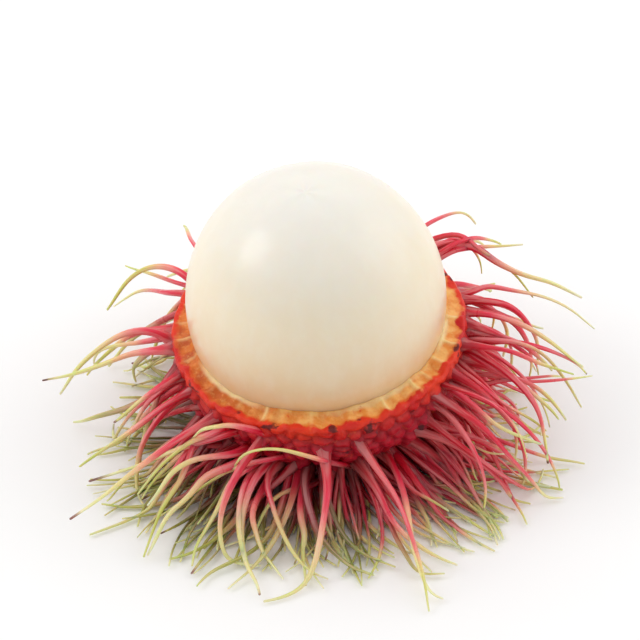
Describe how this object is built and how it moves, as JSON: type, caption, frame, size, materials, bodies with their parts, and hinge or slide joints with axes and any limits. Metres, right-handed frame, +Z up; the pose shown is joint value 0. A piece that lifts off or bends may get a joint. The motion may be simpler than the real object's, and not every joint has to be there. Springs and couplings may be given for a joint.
{
  "type": "half-peeled rambutan",
  "caption": "Rambutan with the upper half of its rind peeled off: a smooth pale flesh ball sits in a red cup of rind covered in long soft curved hairs.",
  "frame": {"origin": "centre of the small flat spot under the rind that the fruit rests on", "axes": "+Z up from the surface, -Y towards the side that the open half leans to, +X to the right seen from there"},
  "size_m": [0.0679, 0.0673, 0.038],
  "materials": {
    "flesh": "moist satin, translucent cream",
    "rind": "satin crimson skin, orange torn rim, hairs red at the foot and yellow-green at the tip"
  },
  "bodies": {
    "root": {"flesh": "flesh", "rind": "rind"}
  },
  "joints": []
}
